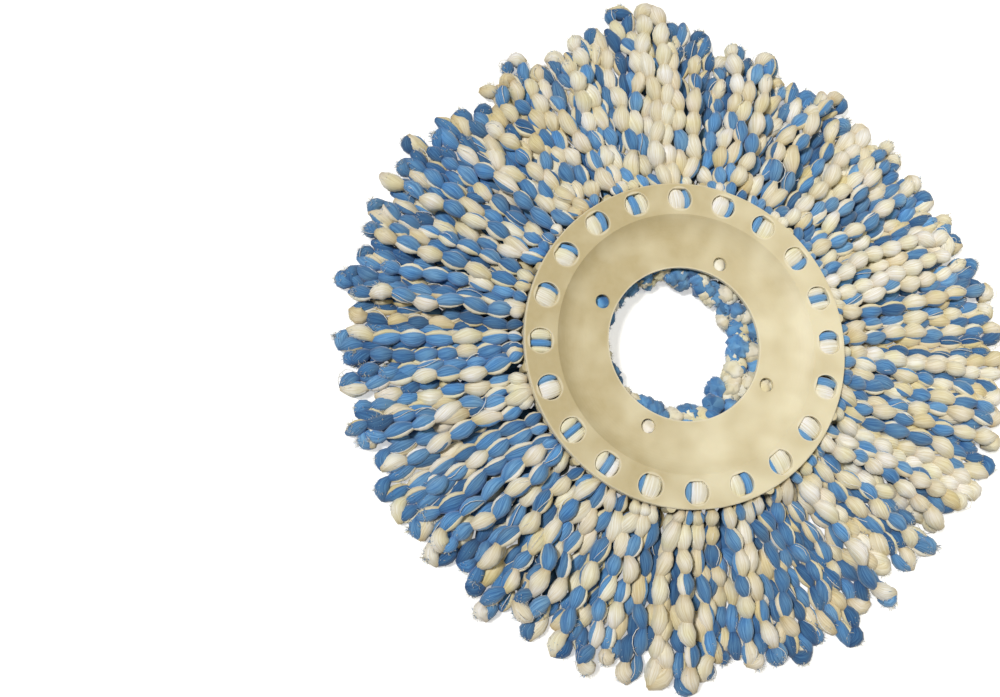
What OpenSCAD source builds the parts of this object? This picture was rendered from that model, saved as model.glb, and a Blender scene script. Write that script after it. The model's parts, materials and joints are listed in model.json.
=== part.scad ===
// Round spin-mop head refill: a dished plastic ring, a clamp ring under it, and twenty tufts of looped yarn
// that are laid over pegs, pressed up into the ring's windows and wrapped round the clamp ring.
// Millimetres, +Z up. The origin is on the ring's axis, on the floor that the yarn lies on.

/* [Ring] */
// Outside diameter of the top ring
ring_d = 160; // [150:1:170]
// Width of the flat flange that carries the windows
flange_w = 16; // [15:0.5:18]
// Thickness of the flange
flange_t = 2.4; // [2:0.1:3]
// How far the rim lip hangs below the flange
lip_drop = 1.2; // [0.8:0.1:1.4]
// Thickness of the rim lip
lip_t = 1.6; // [1.2:0.1:1.8]
// Radius of the rim's rounded top edge
rim_round = 0.8; // [0.4:0.1:1]
// Depth of the dish, from the flange's top to the dish floor's top
dish_depth = 5; // [4:0.5:6]
// Horizontal run of the dish's curved wall
slope_run = 15; // [13:0.5:16]
// Thickness of the dish wall and floor
dish_t = 2; // [1.6:0.1:2.2]
// Diameter of the centre opening
bore_d = 76; // [70:1:78]

/* [Plate holes] */
// Number of small round holes in the dish floor
plate_holes = 4; // [3:1:6]
// Diameter of each hole
plate_hole_d = 7; // [5:0.2:8]
// Diameter of the circle that the holes lie on
plate_hole_pcd = 90; // [88:0.5:91]

/* [Windows] */
// Number of windows, each with its own tuft
windows = 20; // [18:1:21]
// Width of a window across the flange's run, a round hole's diameter
window_d = 12; // [11:0.2:12.6]
// Length of a window along the radius, between its two flats
window_l = 10.3; // [9.6:0.1:10.8]

/* [Clamp ring] */
// Thickness of the clamp ring's plate
clamp_t = 3; // [2.4:0.1:3.4]
// Gap between the clamp plate and the flange, which the yarn fills
clamp_gap = 4.7; // [4.3:0.1:5]
// Diameter of the domed peg under each window
peg_d = 6.4; // [5:0.2:7]
// Height of a peg above the clamp plate
peg_h = 2.8; // [2.4:0.1:3]
// Diameter of the locating posts between the windows
post_d = 4.4; // [3.6:0.2:4.8]
// Wall of the socket that each post plugs into
socket_wall = 1.2; // [1:0.1:1.4]
// How far a socket hangs below the flange
socket_h = 3; // [2:0.2:3.4]
// Running clearance of a post in its socket
post_clear = 0.15; // [0.1:0.05:0.25]

/* [Snap hooks] */
// Number of snap hooks round the rim, a divisor of the number of windows
hooks = 10; // [5:5:10]
// Diameter that rounds the outline of a hook
hook_d = 4.4; // [3.8:0.2:5]
// How far a hook stands out of the ring
hook_out = 2; // [1.7:0.1:2.4]
// How far a hook's head reaches into the rim
hook_catch = 0.9; // [0.6:0.1:1.2]
// Thickness of a hook's head
hook_head_t = 0.8; // [0.6:0.1:1]
// Clearance round a hook
hook_clear = 0.3; // [0.2:0.05:0.4]

/* [Yarn] */
// How far the yarn reaches past the ring
fringe_reach = 90; // [70:1:110]
// Height of the fringe above the floor, beside the ring
fringe_h = 16.6; // [15.5:0.1:16.8]
// Height of the fringe above the floor, where its tips begin to round off
tip_h = 14.2; // [12:0.2:15]
// Length of the rounded tips
tip_run = 18; // [12:1:24]
// How far out from the ring the fringe reaches its full height
shoulder_run = 9; // [7:0.5:12]
// Thickness of the yarn under the clamp ring
under_t = 10.6; // [9.6:0.1:11.4]
// Width of a tuft in its window
strap_w = 10.4; // [9:0.2:10.6]
// Depth of the valleys between strands at the tips
tip_notch = 14; // [6:1:20]
// How far a tuft's strap runs on past each flat of its window
strap_over = 0.9; // [0.6:0.1:1.2]
// Height of the valleys between strands, as a share of the crests
valley = 0.72; // [0.5:0.02:0.95]
// Height of a tuft's two sides, as a share of the crests
side = 0.35; // [0.2:0.05:0.6]
// Number of strands that show across a tuft
strands = 3; // [2:1:4]
// Gap between neighbouring tufts
side_gap = 0.4; // [0.3:0.1:0.8]
// Gap between the yarn and the plastic, and between the yarn's two layers
yarn_clear = 0.3; // [0.25:0.05:0.35]

/* [Hidden] */
$fn = 96;
eps = 0.01;

ring_r = ring_d / 2;
flange_in_r = ring_r - flange_w;
window_r = ring_r - flange_w / 2;
floor_r = flange_in_r - slope_run;
pitch = 360 / windows;

// Heights, from the floor up
clamp_z = under_t + yarn_clear;
clamp_top_z = clamp_z + clamp_t;
flange_z = clamp_top_z + clamp_gap;
top_z = flange_z + flange_t;
dish_z = top_z - dish_depth;
dish_under_z = dish_z - dish_t;
lip_z = flange_z - lip_drop;

// The dish's wall is an arc that leaves the floor flat and meets the flange at an angle. Its underside is the
// same arc, lower by the wall's thickness.
wall_angle = 2 * atan(dish_depth / slope_run);
wall_r = slope_run / sin(wall_angle);
wall_z = dish_z + wall_r;
function under_z(r, clear = 0) = wall_z - sqrt(pow(wall_r + dish_t + clear, 2) - pow(r - floor_r, 2));
under_angle = acos((wall_z - flange_z) / (wall_r + dish_t));
wall_steps = 10;

function tuft_name(i) = str("yarn_tuft_", i < 10 ? "0" : "", i);
function arc(cx, cz, r, a0, a1, steps) =
    [for (k = [0:steps]) let (a = a0 + (a1 - a0) * k / steps) [cx + r * cos(a), cz + r * sin(a)]];

module each_gap(every = 1) {
    for (i = [0:every:windows - 1]) rotate([0, 0, pitch * (i + 0.5)]) children();
}

// ---- Top ring ----

module ring_profile() {
    polygon(concat(
        [[bore_d / 2, dish_under_z]],
        arc(floor_r, wall_z, wall_r + dish_t, -90, under_angle - 90, wall_steps),
        [[ring_r - lip_t, flange_z], [ring_r - lip_t, lip_z], [ring_r, lip_z]],
        arc(ring_r - rim_round, top_z - rim_round, rim_round, 0, 90, 4),
        arc(floor_r, wall_z, wall_r, wall_angle - 90, -90, wall_steps),
        [[bore_d / 2, dish_z]]
    ));
}

// A round hole with a flat on the side towards the axis and one on the side away from it
module window_hole() {
    intersection() {
        translate([window_r, 0, flange_z - eps]) cylinder(d = window_d, h = flange_t + 2 * eps);
        translate([window_r - window_l / 2, -window_d, flange_z - 1])
            cube([window_l, 2 * window_d, flange_t + 2]);
    }
}

module socket_wall_tube() {
    translate([window_r, 0, flange_z - socket_h])
        cylinder(d = socket_in_d + 2 * socket_wall, h = socket_h + eps);
}

module socket_bore() {
    translate([window_r, 0, flange_z - socket_h - eps]) cylinder(d = socket_in_d, h = socket_h + eps);
}

// The pocket in the rim's side that a hook's head snaps into
module hook_pocket() {
    difference() {
        translate([hook_x, 0, hook_head_z - hook_clear])
            cylinder(d = hook_d + 2 * hook_clear, h = hook_head_t + 2 * hook_clear);
        cylinder(r = hook_head_in_r - hook_clear, h = top_z + 2);
    }
}

module top_ring() {
    color([0.87, 0.80, 0.64])
    difference() {
        union() {
            rotate_extrude() ring_profile();
            each_gap() socket_wall_tube();
        }
        each_gap() socket_bore();
        for (i = [0:windows - 1]) rotate([0, 0, pitch * i]) window_hole();
        each_gap(hook_every) hook_pocket();
        for (i = [0:plate_holes - 1]) rotate([0, 0, plate_hole_angle + 360 / plate_holes * i])
            translate([plate_hole_r, 0, dish_under_z - eps]) cylinder(d = plate_hole_d, h = dish_t + dish_depth);
    }
}

socket_in_d = post_d + 2 * post_clear;
// The plate holes start midway between two windows. A wider centre opening pushes them out, so that the land
// between them and the opening stays at least as wide as the wall is thick.
plate_hole_angle = pitch * 3.5;
plate_hole_r = max(plate_hole_pcd, bore_d + 2 * dish_t + plate_hole_d) / 2;

// ---- Clamp ring ----

hook_every = windows / hooks;
hook_in_r = ring_r + hook_clear;
hook_out_r = ring_r + hook_out;
hook_x = hook_out_r - hook_d / 2;
hook_head_in_r = ring_r - hook_catch;
hook_head_z = flange_z + hook_clear;
peg_z = clamp_top_z + peg_h;
// The peg's dome is a ball's cap
dome_h = peg_h * 0.7;
dome_r = (peg_d * peg_d / 4 + dome_h * dome_h) / (2 * dome_h);

module peg() {
    translate([window_r, 0, clamp_top_z - eps]) {
        cylinder(d = peg_d, h = peg_h - dome_h + eps);
        intersection() {
            translate([0, 0, peg_h - dome_r + eps]) sphere(r = dome_r);
            translate([0, 0, peg_h - dome_h]) cylinder(d = peg_d, h = dome_h + 1);
        }
    }
}

// A shouldered post: the shoulder meets the socket's mouth, the tip goes up into it
module post() {
    translate([window_r, 0, clamp_top_z - eps]) {
        cylinder(d = socket_in_d + 2 * socket_wall, h = clamp_gap - socket_h - post_clear + eps);
        cylinder(d = post_d, h = clamp_gap - 2 * post_clear + eps);
    }
}

// A round-backed arm outside the rim, and a head that reaches into the pocket in the rim's side
module hook() {
    difference() {
        translate([hook_x, 0, clamp_z]) cylinder(d = hook_d, h = hook_head_z + hook_head_t - clamp_z);
        translate([0, 0, clamp_top_z]) cylinder(r = hook_in_r, h = hook_head_z - clamp_top_z);
        translate([0, 0, hook_head_z - eps]) cylinder(r = hook_head_in_r, h = hook_head_t + 1);
        translate([0, 0, clamp_z - 1]) cylinder(r = flange_in_r + 1, h = top_z);
    }
}

module clamp_ring() {
    color([0.84, 0.77, 0.61]) {
        rotate_extrude() translate([flange_in_r, clamp_z]) square([flange_w - hook_clear, clamp_t]);
        for (i = [0:windows - 1]) rotate([0, 0, pitch * i]) peg();
        each_gap() post();
        each_gap(hook_every) hook();
    }
}

// ---- Yarn tufts ----
// A tuft is one closed loft. Each station has a point on the loop's outside and one on its inside, in
// (radius, height), and half the angle that the tuft spans there. Round the loop it goes over the peg, out
// along the fringe's top layer, round the tips, back along the floor, round the inboard bend and up again.

strap_run = window_l / 2 + strap_over;
crown_z = top_z - yarn_clear;
crown_fall = (crown_z - flange_z + yarn_clear) / pow(window_l / 2 - yarn_clear, 2);
belly_z = peg_z + yarn_clear;
belly_fall = (belly_z - clamp_top_z - yarn_clear) / pow(strap_run, 2);

function full_angle(r) = pitch / 2 - asin(side_gap / 2 / r);
function hook_angle(r) = pitch / 2 - asin((hook_d / 2 + yarn_clear) / r);
strap_taper = strap_w * 0.1;
function strap_angle(x) = asin((strap_w / 2 - strap_taper * pow(x / strap_run, 2)) / window_r);

// Over the peg: x is the distance outwards from the window's middle
function strap_station(x) =
    [window_r + x, crown_z - crown_fall * x * x, window_r + x, belly_z - belly_fall * x * x, strap_angle(x), 0];

reach_r = ring_r + fringe_reach;
tip_r = reach_r - tip_run;
layer_z = tip_h / 2;
hook_side_r = hook_out_r + yarn_clear;

// Round the tips: a runs from the top layer, over the tip, to the floor
tip_core = tip_run * 0.4;
function tip_station(a) =
    [tip_r + tip_run * sin(a), layer_z + layer_z * cos(a),
     tip_r + tip_core * sin(a), layer_z + yarn_clear * cos(a), full_angle(tip_r), tip_notch * sin(a)];

// Round the inboard bend, from the floor up to the underside of the dish floor
bend_out = bore_d / 2 + 3 * yarn_clear;
bend_h = (dish_under_z - yarn_clear) / 2;
bend_r = bend_out + bend_h;
bend_core = 7 * yarn_clear;
function bend_station(a) =
    [bend_r - bend_h * sin(a), bend_h - bend_h * cos(a),
     bend_r + bend_core * (1 - sin(a)), bend_h - yarn_clear * cos(a), full_angle(bend_r), 0];

// Where the tuft's two layers part: beside the ring, half way out, under the clamp ring and under the dish
mid_r = (ring_r + tip_r) / 2;
part_z = (layer_z + under_t) / 2;
slope_mid_r = (floor_r + flange_in_r) / 2;
slope_out_r = flange_in_r - 5 * yarn_clear;

stations = concat(
    [for (k = [-3:3]) strap_station(strap_run * k / 3)],
    [[ring_r + 2 * yarn_clear, lip_z - yarn_clear, ring_r + yarn_clear, clamp_top_z + yarn_clear,
      hook_angle(ring_r), 0],
     [hook_side_r + 4 * yarn_clear, lip_z - 2 * yarn_clear, hook_side_r, under_t, hook_angle(ring_r), 0],
     [hook_side_r + shoulder_run, fringe_h, hook_side_r + shoulder_run / 2, part_z, full_angle(ring_r), 0],
     [mid_r, (fringe_h + tip_h) / 2, mid_r, layer_z + 2 * yarn_clear, full_angle(ring_r), 0]],
    [for (a = [0:36:180]) tip_station(a)],
    [[mid_r, 0, mid_r, layer_z, full_angle(ring_r), 0],
     [hook_side_r, 0, hook_side_r, under_t - 2 * yarn_clear, full_angle(ring_r), 0],
     [flange_in_r - 2 * yarn_clear, 0, flange_in_r - 2 * yarn_clear, under_t - yarn_clear,
      full_angle(flange_in_r), 0],
     [floor_r + bend_core, 0, floor_r + 2 * bend_core, bend_h + yarn_clear, full_angle(floor_r), 0]],
    [for (a = [0:45:180]) bend_station(a)],
    [[floor_r, dish_under_z - yarn_clear, floor_r + 2 * bend_core, bend_h + 4 * yarn_clear,
      full_angle(floor_r), 0],
     [slope_mid_r, under_z(slope_mid_r, 2 * yarn_clear), slope_mid_r + bend_core, clamp_z - yarn_clear,
      full_angle(slope_mid_r), 0],
     [slope_out_r, under_z(slope_out_r, yarn_clear), slope_out_r + yarn_clear, clamp_top_z,
      strap_angle(0), 0]]
);

// Round one section: strand crests stand at full height, the valleys between them lower, the sides lowest
function height_share(j) = (j == 0 || j == 2 * strands) ? side : (j % 2 == 1 ? 1 : valley);
function section_point(s, j, outside) =
    let (share = height_share(j),
         half = (outside ? 1 : -1) * share / 2,
         r = (s[0] + s[2]) / 2 + half * (s[0] - s[2]) - s[5] * (1 - share),
         z = (s[1] + s[3]) / 2 + half * (s[1] - s[3]),
         a = s[4] * (j / strands - 1))
    [r * cos(a), r * sin(a), z];
function section(s) = concat(
    [for (j = [0:2 * strands]) section_point(s, j, true)],
    [for (j = [2 * strands - 1:-1:1]) section_point(s, j, false)]
);

module yarn_tuft(i) {
    n = len(stations);
    m = 4 * strands;
    points = [for (s = stations) each section(s)];
    faces = [for (k = [0:n - 1], j = [0:m - 1])
        let (a = k * m + j, b = k * m + (j + 1) % m,
             c = ((k + 1) % n) * m + (j + 1) % m, d = ((k + 1) % n) * m + j)
        each [[a, b, c], [a, c, d]]];
    color(i % 2 == 0 ? [0.36, 0.53, 0.76] : [0.92, 0.90, 0.82])
    rotate([0, 0, pitch * (i - 1)]) polyhedron(points = points, faces = faces);
}

top_ring();
clamp_ring();
for (i = [1:windows]) yarn_tuft(i);
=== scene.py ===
# %% [markdown]
# A spin mop's head is a plastic ring with a thick fringe of yarn. The ring is two mouldings: the dished ring
# that shows, and a clamp ring under it that presses each tuft of yarn up into a window. Both come from the
# frame and keep their shape here, so this lesson dresses them: the plastic gets its cloudy, see-through look,
# and the plain tufts are replaced by beaded yarn, strand by strand. The frame comes first, because every size
# starts from it.

import json
import math

import bpy
import numpy as np
from mathutils import Matrix, Vector


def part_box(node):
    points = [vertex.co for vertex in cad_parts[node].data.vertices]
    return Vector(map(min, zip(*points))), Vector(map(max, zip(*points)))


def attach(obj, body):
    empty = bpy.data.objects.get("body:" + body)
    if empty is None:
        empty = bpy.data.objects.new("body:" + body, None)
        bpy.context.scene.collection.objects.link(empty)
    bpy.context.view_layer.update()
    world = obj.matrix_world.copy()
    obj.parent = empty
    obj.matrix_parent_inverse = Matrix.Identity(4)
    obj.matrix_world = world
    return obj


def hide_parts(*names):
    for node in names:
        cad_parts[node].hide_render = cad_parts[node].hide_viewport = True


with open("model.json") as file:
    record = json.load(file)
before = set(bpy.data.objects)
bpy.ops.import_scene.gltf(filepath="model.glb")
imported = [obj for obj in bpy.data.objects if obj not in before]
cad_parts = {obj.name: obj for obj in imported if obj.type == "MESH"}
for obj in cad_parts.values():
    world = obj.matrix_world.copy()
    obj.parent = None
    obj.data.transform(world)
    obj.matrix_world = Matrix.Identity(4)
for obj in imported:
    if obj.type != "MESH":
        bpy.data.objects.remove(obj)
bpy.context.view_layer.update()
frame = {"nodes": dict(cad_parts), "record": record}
print("the frame has", len(frame["nodes"]), "nodes")

# %% [markdown]
# The sizes that the yarn has to respect are read off the frame. The few that it doesn't state, such as the
# circle that the windows lie on, are named here once. The ring and the yarn are in millimetres, and turned into
# metres when a mesh is made. The camera, the stage and the materials are in metres.

# %% Sizes read off the frame
MM = 0.001
_, ring_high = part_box("top_ring")
clamp_low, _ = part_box("clamp_ring")
_, tuft_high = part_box("yarn_tuft_01")
mounts = {mount["name"]: mount for mount in frame["record"]["mounts"]}

RIM_R = ring_high.x / MM
RING_TOP = ring_high.z / MM
CLAMP_BOTTOM = clamp_low.z / MM
REACH_R = tuft_high.x / MM
BORE_R = mounts["centre_opening"]["dims"]["r_mm"]
DISH_TOP = mounts["dish_floor"]["pos_m"][2] / MM
TUFTS = sum(1 for name in frame["nodes"] if name.startswith("yarn_tuft"))
PITCH = 2 * math.pi / TUFTS

FLANGE_WIDTH = 16
FLANGE_THICK = 2.4
DISH_THICK = 2
LIP_DROP = 1.2
CLAMP_THICK = 3
WINDOW_R = RIM_R - FLANGE_WIDTH / 2
FLANGE_UNDER = RING_TOP - FLANGE_THICK
DISH_UNDER = DISH_TOP - DISH_THICK
print(f"ring {2 * RIM_R:.0f} mm across, {TUFTS} tufts, reach {REACH_R:.1f} mm")

# %% [markdown]
# The camera is held half a metre above the mop head, a little to its lower left, the way a person leans over a
# table. So near, the near side of the ring looks larger than the far side, and the rim's wall shows on the left.
# It is aimed beside the ring, which puts the mop head right of the middle of the picture.

# %% The camera
camera_place = Vector((-0.1551, -0.0877, 0.4565))
camera_back = Vector((-0.146, -0.192, 1.0)).normalized()
camera_up = Vector((0.0216, 1.0, 0.0))
camera_up = (camera_up - camera_up.dot(camera_back) * camera_back).normalized()

bpy.ops.object.camera_add(location=camera_place)
camera = bpy.context.object
camera.name = "camera"
camera.rotation_euler = Matrix((camera_up.cross(camera_back), camera_up, camera_back)).transposed().to_euler()
camera.data.lens = 34.6
camera.data.sensor_width = 36
camera.data.clip_end = 20
bpy.context.scene.camera = camera
print(f"camera {(camera_place - Vector((0, 0, ring_high.z))).length:.2f} m from the ring")

# %% [markdown]
# Every look here is a tree of shader nodes. Each node has to be added, set and linked, so a small class does
# all three in one call: an input that is given another node's socket is linked, and any other is set.

# %% Short calls for shader nodes
class Tree:
    """A node tree, with a short call for each kind of node that is needed here."""
    def __init__(self, tree):
        self.nodes, self.links = tree.nodes, tree.links

    def fill(self, node, inputs):
        for name, value in inputs.items():
            socket = node.inputs[name]
            if isinstance(value, bpy.types.NodeSocket):
                self.links.new(value, socket)
            else:
                socket.default_value = (*value, 1) if socket.type == "RGBA" else value

    def add(self, kind, inputs, **settings):
        node = self.nodes.new("ShaderNode" + kind)
        for name, value in settings.items():
            setattr(node, name, value)
        self.fill(node, inputs)
        return node

    def maths(self, operation, *values):
        return self.add("Math", dict(enumerate(values)), operation=operation).outputs[0]

    def mix(self, factor, first, second, blend="MIX"):
        inputs = {"Factor": factor, "A": first, "B": second}
        return self.add("Mix", inputs, data_type="RGBA", blend_type=blend).outputs["Result"]

    def remap(self, value, low, high, to_low=0.0, to_high=1.0):
        inputs = {"Value": value, "From Min": low, "From Max": high, "To Min": to_low, "To Max": to_high}
        return self.add("MapRange", inputs).outputs["Result"]

    def attribute(self, name):
        return self.add("Attribute", {}, attribute_name=name).outputs["Fac"]

    def place(self):
        return self.add("TexCoord", {}).outputs["Object"]

    def noise(self, scale, detail):
        return self.add("TexNoise", {"Vector": self.place(), "Scale": scale, "Detail": detail}).outputs["Fac"]

    def bump(self, height, strength):
        return self.add("Bump", {"Height": height, "Strength": strength, "Distance": 0.0003}).outputs["Normal"]


def new_material(name):
    material = bpy.data.materials.new(name)
    material.use_nodes = True
    tree = Tree(material.node_tree)
    return material, tree, tree.nodes["Principled BSDF"]


def new_group(name, inputs, output):
    """A node group with number sockets, its tree, and its own input and output nodes."""
    group = bpy.data.node_groups.new(name, "ShaderNodeTree")
    for label in inputs:
        group.interface.new_socket(label, in_out="INPUT", socket_type="NodeSocketFloat")
    group.interface.new_socket(output, in_out="OUTPUT", socket_type="NodeSocketFloat")
    return group, Tree(group), group.nodes.new("NodeGroupInput"), group.nodes.new("NodeGroupOutput")


print("short calls:", ", ".join(name for name in vars(Tree) if not name.startswith("_")))

# %% [markdown]
# The stage is one wide pale floor, nearly pure white, and lamps strong enough for that would bleach the yarn. So
# the floor adds a little light of its own, for the camera and for shiny reflections only: that turns it white
# without putting more light on the mop head, and it still takes the shadow.

# %% The floor
FLOOR_GLOW = 0.50


def deselect_all():
    if bpy.context.mode != "OBJECT":
        bpy.ops.object.mode_set(mode="OBJECT")
    bpy.ops.object.select_all(action="DESELECT")


def floor_material():
    material, tree, shader = new_material("pale_floor")
    path = tree.add("LightPath", {})
    seen = tree.maths("MAXIMUM", path.outputs["Is Camera Ray"], path.outputs["Is Glossy Ray"])
    tree.fill(shader, {"Base Color": (0.82, 0.82, 0.82), "Roughness": 0.9, "Specular IOR Level": 0.0,
                       "Emission Color": (1, 1, 1), "Emission Strength": tree.maths("MULTIPLY", seen, FLOOR_GLOW)})
    return material


deselect_all()
bpy.ops.mesh.primitive_plane_add(size=8, location=(0, 0, -0.0004))
floor = bpy.context.object
floor.name = "floor"
floor.data.materials.append(floor_material())
print(f"floor {floor.dimensions.x:.0f} m wide")

# %% [markdown]
# The light is a strong lamp high and far on the left, a weak and warm one near on the right, and an even sky. So
# the dish's right wall, which faces the strong lamp, is the brighter one. Both lamps are discs, for soft shadows.

# %% The lamps and the sky
def soft_lamp(name, place, size, watts, colour):
    bpy.ops.object.light_add(type="AREA", location=place)
    lamp = bpy.context.object
    lamp.name = name
    lamp.data.shape = "DISK"
    lamp.data.size = size
    lamp.data.energy = watts
    lamp.data.color = colour
    lamp.rotation_euler = (-Vector(place)).to_track_quat("-Z", "Y").to_euler()


soft_lamp("left_lamp", (-4.0, 0.86, 6.6), 1.4, 460, (1.0, 0.985, 0.95))
soft_lamp("right_lamp", (0.42, 0.10, 0.5), 0.3, 1.25, (1.0, 0.94, 0.76))

world = bpy.data.worlds.new("even_sky")
bpy.context.scene.world = world
world.use_nodes = True
sky = Tree(world.node_tree)
sky.fill(sky.nodes["Background"], {"Color": (1.0, 0.90, 0.74), "Strength": 0.11})
bpy.context.scene.view_settings.view_transform = "Standard"
print(len(bpy.data.lights), "lamps and a sky")

# %% [markdown]
# Real yarn lies where gravity, its own length and its neighbours let it, and curves drawn by hand would run
# through each other. So each strand is a row of soft balls, one at every puff's middle and one at every neck,
# which are let down and pushed apart further on. Its stiffness is the least distance from a ball to the second
# and to the fourth ball after it, shorter near the tip, where the yarn turns back. Everything random is drawn
# from one seeded source, so the mop lies the same in every run.

# %% A strand is a row of balls
rng = np.random.default_rng(20)
PUFF_STEP = 11.6
STEP = PUFF_STEP / 2
MIDDLE_BALL = 3.8
NECK_BALL = 2.9
TWO_STEPS_AT_TIP = 1.35
TWO_STEPS = 1.95
FOUR_STEPS = 3.88


def polar(radius, angle, height):
    return np.stack([radius * np.cos(angle), radius * np.sin(angle), height * np.ones_like(radius)], axis=-1)


def radius_of(points):
    return np.linalg.norm(points[:, :2], axis=1)


def spaced(points, step):
    """Points an even step apart along a polyline, with an even number of steps."""
    run = np.concatenate([[0], np.cumsum(np.linalg.norm(np.diff(points, axis=0), axis=1))])
    count = max(2, 2 * int(round(run[-1] / step / 2)))
    at = np.linspace(0, run[-1], count + 1)
    return np.stack([np.interp(at, run, points[:, k]) for k in range(3)], axis=-1)


def across_at(angle):
    return np.array([-math.sin(angle), math.cos(angle), 0.0])


class Strand:
    """Balls along one stretch of yarn, which is held at one end or at both. Its puffs differ in length."""
    def __init__(self, tuft, nodes, held_ends, kind, returns_low=False, starts_low=False):
        self.tuft, self.nodes, self.kind = tuft, nodes, kind
        self.low_end = 0 if starts_low else -1 if returns_low else None
        self.held = np.zeros(len(nodes), bool)
        self.held[0] = True
        self.held[-1] = held_ends == 2
        apex = np.argmax(radius_of(nodes))
        from_apex = np.abs(np.arange(len(nodes)) - apex)
        self.stiff = np.where(from_apex < 4, TWO_STEPS_AT_TIP, TWO_STEPS)
        self.straight = np.where(from_apex < 6, 0.0, FOUR_STEPS)
        self.low = starts_low | (returns_low & (np.arange(len(nodes)) > apex))
        self.lift = 0
        puffs = rng.uniform(0.88, 1.12, (len(nodes) - 1) // 2)
        puffs[0] = rng.uniform(0.45, 1.1)
        self.links = np.repeat(puffs, 2) * np.linalg.norm(np.diff(nodes, axis=0), axis=1).mean()


print(f"two balls to a puff of {PUFF_STEP} mm")

# %% [markdown]
# A strand leaves the ring in its own lane of the tuft, and the lanes spread as they go out. Beside a snap hook
# they are drawn in, so that the hook stands free. The fringe isn't cut true and the dye isn't even, so both are
# a plain value with a few bumps on it, each given as a height, and a direction and a width in degrees.

# %% Where a strand runs
EXIT_R = RIM_R + 0.5
SLOT_Z = (CLAMP_BOTTOM + CLAMP_THICK + FLANGE_UNDER - LIP_DROP) / 2
LOW_Z = 4.0
WIDEST_LANE = 0.49
OPENING_RUN = 22
REACH_BUMPS = ((7.0, -8, 20), (-3.0, 62, 22), (-4.0, -80, 10), (5.0, 92, 9), (5.0, -45, 14))


def lane_angle(tuft, lane, radius, passes_hook):
    """The angle of a lane from -1 to 1 across a tuft's sector, drawn in beside the hook at the ring."""
    hook_side = 1 if tuft % 2 == 0 else -1
    at_ring = 0.46 if not passes_hook else 0.32 if lane * hook_side > 0 else 0.45
    opened = np.clip((radius - RIM_R - 2) / OPENING_RUN, 0, 1)
    return tuft * PITCH + lane * PITCH * (at_ring + (WIDEST_LANE - at_ring) * opened)


def outward_leg(tuft, lane, tip_radius, height, wander):
    """From the ring's edge out to near the tip, on the floor or on top."""
    on_top = height != LOW_Z
    exit_height = SLOT_Z if on_top else LOW_Z
    share = np.linspace(0, 1, 24)
    radius = EXIT_R + (tip_radius - EXIT_R) * share
    wave = wander * np.sin(rng.uniform(0, 6.28) + share * rng.uniform(3, 8)) * np.minimum(1, share * 4) / radius
    rise = np.minimum(1, share * 5)
    angle = lane_angle(tuft, lane, radius, on_top)
    return polar(radius, angle + wave, exit_height + (height - exit_height) * rise)


def bump_at(angle, centre, width):
    """1 at one direction of the head, and falling off to both sides of it."""
    away = (angle - math.radians(centre) + math.pi) % (2 * math.pi) - math.pi
    return np.exp(-(away / math.radians(width)) ** 2)


def bumps_at(angle, bumps):
    return sum(height * bump_at(angle, centre, width) for height, centre, width in bumps)


def reach_at(angle):
    """The fringe reaches further on one side, and it is a little square."""
    lobes = np.cos(4 * angle) * np.clip(1 + np.cos(angle), 0, 1)
    return REACH_R + 1.5 + 6.0 * np.cos(angle - math.radians(75)) + 4.5 * lobes + bumps_at(angle, REACH_BUMPS)


reaches = reach_at(np.radians(np.arange(360)))
print(f"the fringe may reach {reaches.min():.0f} to {reaches.max():.0f} mm")

# %% [markdown]
# Each tuft is loops of yarn. Four of them come out over the clamp ring, run out along the top of the fringe,
# turn down at the tip and come back along the floor. Two more strands lie on the floor all the way, and some
# tufts have one more on top, a flat loop or a loose end. A loop is two legs with a round turn between them, cut
# into even steps.

# %% The kinds of strand
SHORT_OF_TIP = 5
TURN_REACH = 5.0
FLAT_LOOP_LANES = 0.16


def joined_at_tip(out, back):
    middle = (out[-1] + back[-1]) / 2
    outward = middle / np.linalg.norm(middle[:2])
    outward[2] = 0
    bend = np.linspace(0, math.pi, 9)[1:-1, None]
    turn = middle + (out[-1] - middle) * np.cos(bend) + outward * TURN_REACH * np.sin(bend)
    return spaced(np.concatenate([out, turn, back[::-1]]), STEP * rng.uniform(0.92, 1.08))


def make_falling_loop(tuft, lane, tip_radius, height, kind):
    out = outward_leg(tuft, lane, tip_radius - SHORT_OF_TIP, height, rng.uniform(0.4, 2.6))
    low_lane = lane * 0.8 + rng.uniform(-0.1, 0.1)
    low_tip = tip_radius - SHORT_OF_TIP - rng.uniform(0, 3)
    back = outward_leg(tuft, low_lane, low_tip, LOW_Z, rng.uniform(0.2, 1.5))
    return Strand(tuft, joined_at_tip(out, back), 2, kind, returns_low=True)


def make_flat_loop(tuft, lane, tip_radius, height, kind):
    """Out and back on top, side by side."""
    tip_out = tip_radius - SHORT_OF_TIP
    out = outward_leg(tuft, lane - FLAT_LOOP_LANES, tip_out, height, rng.uniform(0.2, 1.5))
    tip_back = tip_out - rng.uniform(0, 4)
    back = outward_leg(tuft, lane + FLAT_LOOP_LANES, tip_back, height, rng.uniform(0.2, 1.5))
    return Strand(tuft, joined_at_tip(out, back), 2, kind)


def make_cut_end(tuft, lane, tip_radius, height, kind):
    """A strand that ends in a cut, on the floor or on top."""
    low = height == LOW_Z
    leg = outward_leg(tuft, lane, tip_radius, height, rng.uniform(0.5, 3.0) if low else rng.uniform(0.2, 2.0))
    return Strand(tuft, spaced(leg, STEP), 1, kind, starts_low=low)


print("three kinds: falling loops, flat loops and cut ends")

# %% [markdown]
# Now the strands are drawn, tuft by tuft. The extra ones start highest, so that they come down on the others. A
# few strands are cream all the way, more of them on the far side of the head, and one tuft has a long cream loop
# that stands out of the fringe.

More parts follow.
